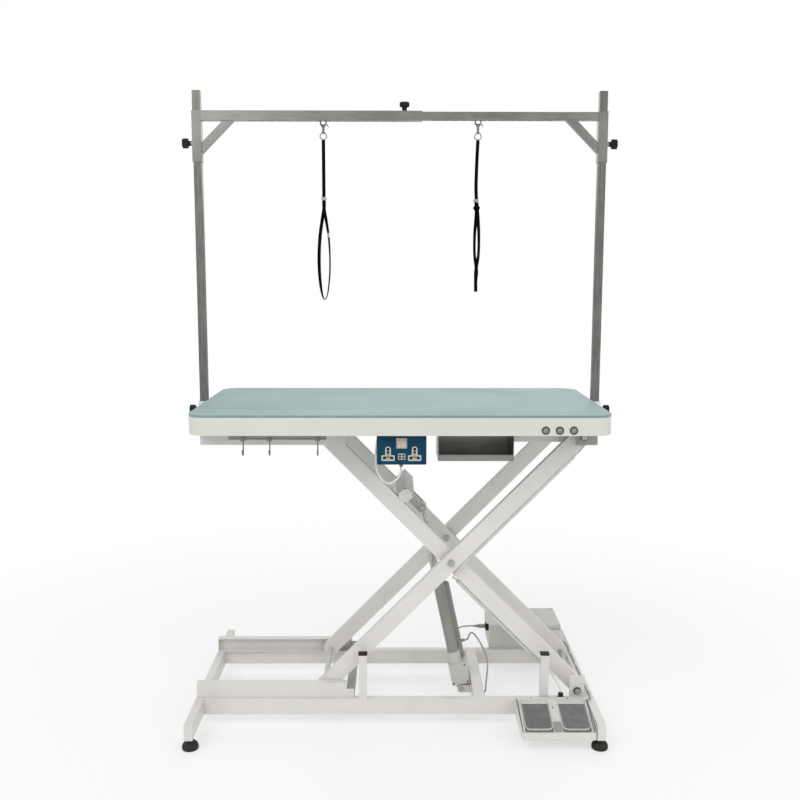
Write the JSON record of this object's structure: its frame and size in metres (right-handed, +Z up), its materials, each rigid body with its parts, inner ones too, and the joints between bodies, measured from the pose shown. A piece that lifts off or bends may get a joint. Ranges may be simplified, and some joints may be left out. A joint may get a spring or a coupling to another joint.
{
  "type": "electric grooming table",
  "caption": "Electric lifting grooming table on a scissor base with foot pedal, side masts, telescoping cross bar and restraint loops.",
  "frame": {"origin": "On the floor under the middle of the table.", "axes": "+X to the right along the table's length as seen from the pedal side, +Y to the rear, +Z up. The pedal is at -Y."},
  "size_m": [1.38, 0.76, 1.99],
  "materials": {
    "white_paint": "off-white powder coat",
    "grey_paint": "dark grey powder coat",
    "stainless": "brushed stainless",
    "steel": "turned steel",
    "grey_cast": "light grey painted casting",
    "motor_grey": "grey paint",
    "chrome": "polished",
    "top_glass": "pale teal textured top with a smooth edge",
    "box_paint": "light grey powder coat",
    "board": "green circuit board",
    "black_plastic": "moulded",
    "pedal_plastic": "light moulded housing",
    "pad_rubber": "grey ribbed pad",
    "roller_nylon": "black nylon",
    "socket_plastic": "deep blue-green plate",
    "rocker_plastic": "pinkish white",
    "cord_white": "white sheath",
    "cable_grey": "grey sheath",
    "conduit": "light grey conduit",
    "webbing": "black nylon webbing"
  },
  "bodies": {
    "base": {"base_cross_tubes": "white_paint", "base_rails": "white_paint", "actuator_cross_tube": "white_paint", "base_runners": "white_paint", "control_box": "box_paint", "control_box_cover": "box_paint", "control_board": "board", "pedal_tray": "white_paint", "pedal_case": "pedal_plastic", "pedal_cable": "cable_grey", "motor_leads": "cable_grey", "arm_lead": "cord_white"},
    "pedal_left": {"pedal_left": "pad_rubber"},
    "pedal_right": {"pedal_right": "pad_rubber"},
    "foot_front_left": {"foot_front_left": "black_plastic"},
    "foot_front_right": {"foot_front_right": "black_plastic"},
    "foot_rear_left": {"foot_rear_left": "black_plastic"},
    "foot_rear_right": {"foot_rear_right": "black_plastic"},
    "inner_arms": {"inner_arm_front": "white_paint", "inner_arm_rear": "white_paint", "inner_cross_tube": "white_paint", "inner_conduit": "conduit"},
    "outer_arms": {"outer_arm_front": "white_paint", "outer_arm_rear": "white_paint", "outer_conduit": "conduit", "pivot_bolts": "steel", "pivot_cable": "cord_white"},
    "lower_rollers": {"lower_rollers": "roller_nylon"},
    "upper_rollers": {"upper_rollers": "roller_nylon"},
    "actuator": {"actuator_case": "grey_cast", "actuator_motor": "motor_grey", "lead_screw": "steel"},
    "rod": {"actuator_rod": "steel"},
    "table": {"table_top": "top_glass", "table_frame": "white_paint", "table_runners": "white_paint", "button_rims": "chrome", "hook_rail": "stainless", "socket_box": "socket_plastic", "socket_cord": "cord_white", "tool_tray": "stainless", "mast_sockets": "white_paint"},
    "button_left": {"button_left": "chrome"},
    "button_middle": {"button_middle": "chrome"},
    "button_right": {"button_right": "chrome"},
    "hook_left": {"hook_left": "stainless"},
    "hook_middle": {"hook_middle": "stainless"},
    "hook_right": {"hook_right": "stainless"},
    "rocker_left": {"rocker_left": "rocker_plastic"},
    "rocker_right": {"rocker_right": "rocker_plastic"},
    "masts": {"masts": "stainless"},
    "cross_bar": {"outer_bar": "stainless", "inner_bar": "stainless"},
    "clamp_knob_left": {"clamp_knob_left": "black_plastic"},
    "clamp_knob_right": {"clamp_knob_right": "black_plastic"},
    "sleeve_knob_left": {"sleeve_knob_left": "black_plastic"},
    "sleeve_knob_right": {"sleeve_knob_right": "black_plastic"},
    "bar_knob": {"bar_knob": "black_plastic"},
    "loop_left": {"loop_left": "webbing"},
    "loop_right": {"loop_right": "webbing"}
  },
  "joints": [
    {"name": "scissor_hinge", "type": "hinge", "parent": "base", "child": "inner_arms", "pos_m": [0.562, 0, 0.112], "axis": [0, 1, 0], "range_deg": [-40.32, 0], "deforming": ["arm_lead", "motor_leads"]},
    {"name": "middle_pivot", "type": "hinge", "parent": "inner_arms", "child": "outer_arms", "pos_m": [0.16085, 0, 0.51975], "axis": [0, 1, 0], "range_deg": [0, 80.7], "deforming": ["pivot_cable"]},
    {"name": "table_hinge", "type": "hinge", "parent": "outer_arms", "child": "table", "pos_m": [0.562, 0, 0.9275], "axis": [0, 1, 0], "range_deg": [-40.4, 0]},
    {"name": "actuator_tilt", "type": "hinge", "parent": "base", "child": "actuator", "pos_m": [0.205, -0.03, 0.05], "axis": [0, 1, 0], "range_deg": [-53.8, 0]},
    {"name": "rod_slide", "type": "slide", "parent": "actuator", "child": "rod", "axis": [-0.2104, 0, 0.9776], "range_m": [-0.2202, 0]},
    {"name": "lower_rollers_roll", "type": "hinge", "parent": "outer_arms", "child": "lower_rollers", "pos_m": [-0.24031, 0, 0.112], "axis": [0, 1, 0], "continuous": true},
    {"name": "upper_rollers_roll", "type": "hinge", "parent": "inner_arms", "child": "upper_rollers", "pos_m": [-0.24031, 0, 0.9275], "axis": [0, 1, 0], "continuous": true},
    {"name": "foot_front_left_screw", "type": "slide", "parent": "base", "child": "foot_front_left", "axis": [0, 0, 1], "range_m": [-0.015, 0]},
    {"name": "foot_front_right_screw", "type": "slide", "parent": "base", "child": "foot_front_right", "axis": [0, 0, 1], "range_m": [-0.015, 0]},
    {"name": "foot_rear_left_screw", "type": "slide", "parent": "base", "child": "foot_rear_left", "axis": [0, 0, 1], "range_m": [-0.015, 0]},
    {"name": "foot_rear_right_screw", "type": "slide", "parent": "base", "child": "foot_rear_right", "axis": [0, 0, 1], "range_m": [-0.015, 0]},
    {"name": "pedal_left_press", "type": "hinge", "parent": "base", "child": "pedal_left", "pos_m": [0.477, -0.24, 0.088], "axis": [1, 0, 0], "range_deg": [0, 3.5], "stiffness_Nm_per_rad": 12, "springref_deg": -3.44},
    {"name": "pedal_right_press", "type": "hinge", "parent": "base", "child": "pedal_right", "pos_m": [0.477, -0.24, 0.088], "axis": [1, 0, 0], "range_deg": [0, 3.5], "stiffness_Nm_per_rad": 12, "springref_deg": -3.44},
    {"name": "button_left_press", "type": "slide", "parent": "table", "child": "button_left", "axis": [0, 1, 0], "range_m": [0, 0.003], "stiffness_N_per_m": 400, "springref_m": -0.002},
    {"name": "button_middle_press", "type": "slide", "parent": "table", "child": "button_middle", "axis": [0, 1, 0], "range_m": [0, 0.003], "stiffness_N_per_m": 400, "springref_m": -0.002},
    {"name": "button_right_press", "type": "slide", "parent": "table", "child": "button_right", "axis": [0, 1, 0], "range_m": [0, 0.003], "stiffness_N_per_m": 400, "springref_m": -0.002},
    {"name": "rocker_left_tilt", "type": "hinge", "parent": "table", "child": "rocker_left", "pos_m": [-0.0025, -0.2986, 0.926], "axis": [1, 0, 0], "range_deg": [-7, 7]},
    {"name": "rocker_right_tilt", "type": "hinge", "parent": "table", "child": "rocker_right", "pos_m": [0.0115, -0.2986, 0.926], "axis": [1, 0, 0], "range_deg": [-7, 7]},
    {"name": "hook_left_slide", "type": "slide", "parent": "table", "child": "hook_left", "axis": [1, 0, 0], "range_m": [-0.033, 0.03]},
    {"name": "hook_middle_slide", "type": "slide", "parent": "table", "child": "hook_middle", "axis": [1, 0, 0], "range_m": [-0.03, 0.06]},
    {"name": "hook_right_slide", "type": "slide", "parent": "table", "child": "hook_right", "axis": [1, 0, 0], "range_m": [-0.06, 0.015]},
    {"name": "mast_slide", "type": "slide", "parent": "table", "child": "masts", "axis": [0, 0, 1], "range_m": [-0.05, 0.03]},
    {"name": "cross_bar_slide", "type": "slide", "parent": "masts", "child": "cross_bar", "axis": [0, 0, 1], "range_m": [-0.26, 0.03]},
    {"name": "clamp_knob_left_turn", "type": "hinge", "parent": "table", "child": "clamp_knob_left", "pos_m": [-0.68, 0.045, 0.976], "axis": [1, 0, 0], "continuous": true},
    {"name": "sleeve_knob_left_turn", "type": "hinge", "parent": "cross_bar", "child": "sleeve_knob_left", "pos_m": [-0.68, 0.045, 1.828], "axis": [1, 0, 0], "continuous": true},
    {"name": "clamp_knob_right_turn", "type": "hinge", "parent": "table", "child": "clamp_knob_right", "pos_m": [0.68, 0.045, 0.976], "axis": [1, 0, 0], "continuous": true},
    {"name": "sleeve_knob_right_turn", "type": "hinge", "parent": "cross_bar", "child": "sleeve_knob_right", "pos_m": [0.68, 0.045, 1.828], "axis": [1, 0, 0], "continuous": true},
    {"name": "bar_knob_turn", "type": "hinge", "parent": "cross_bar", "child": "bar_knob", "pos_m": [0.014, 0.045, 1.94], "axis": [0, 0, 1], "continuous": true},
    {"name": "loop_left_swing", "type": "hinge", "parent": "cross_bar", "child": "loop_left", "pos_m": [-0.243, 0.045, 1.8943], "axis": [0, 1, 0], "range_deg": [-15, 15]},
    {"name": "loop_right_swing", "type": "hinge", "parent": "cross_bar", "child": "loop_right", "pos_m": [0.247, 0.045, 1.8968], "axis": [0, 1, 0], "range_deg": [-15, 15]}
  ],
  "couplings": [
    {"joint": "middle_pivot", "follows": "scissor_hinge", "ratio": -2},
    {"joint": "table_hinge", "follows": "scissor_hinge", "ratio": 1},
    {"joint": "actuator_tilt", "follows": "scissor_hinge", "ratio": 1.3326},
    {"joint": "rod_slide", "follows": "scissor_hinge", "m_per_rad": 0.31205}
  ]
}
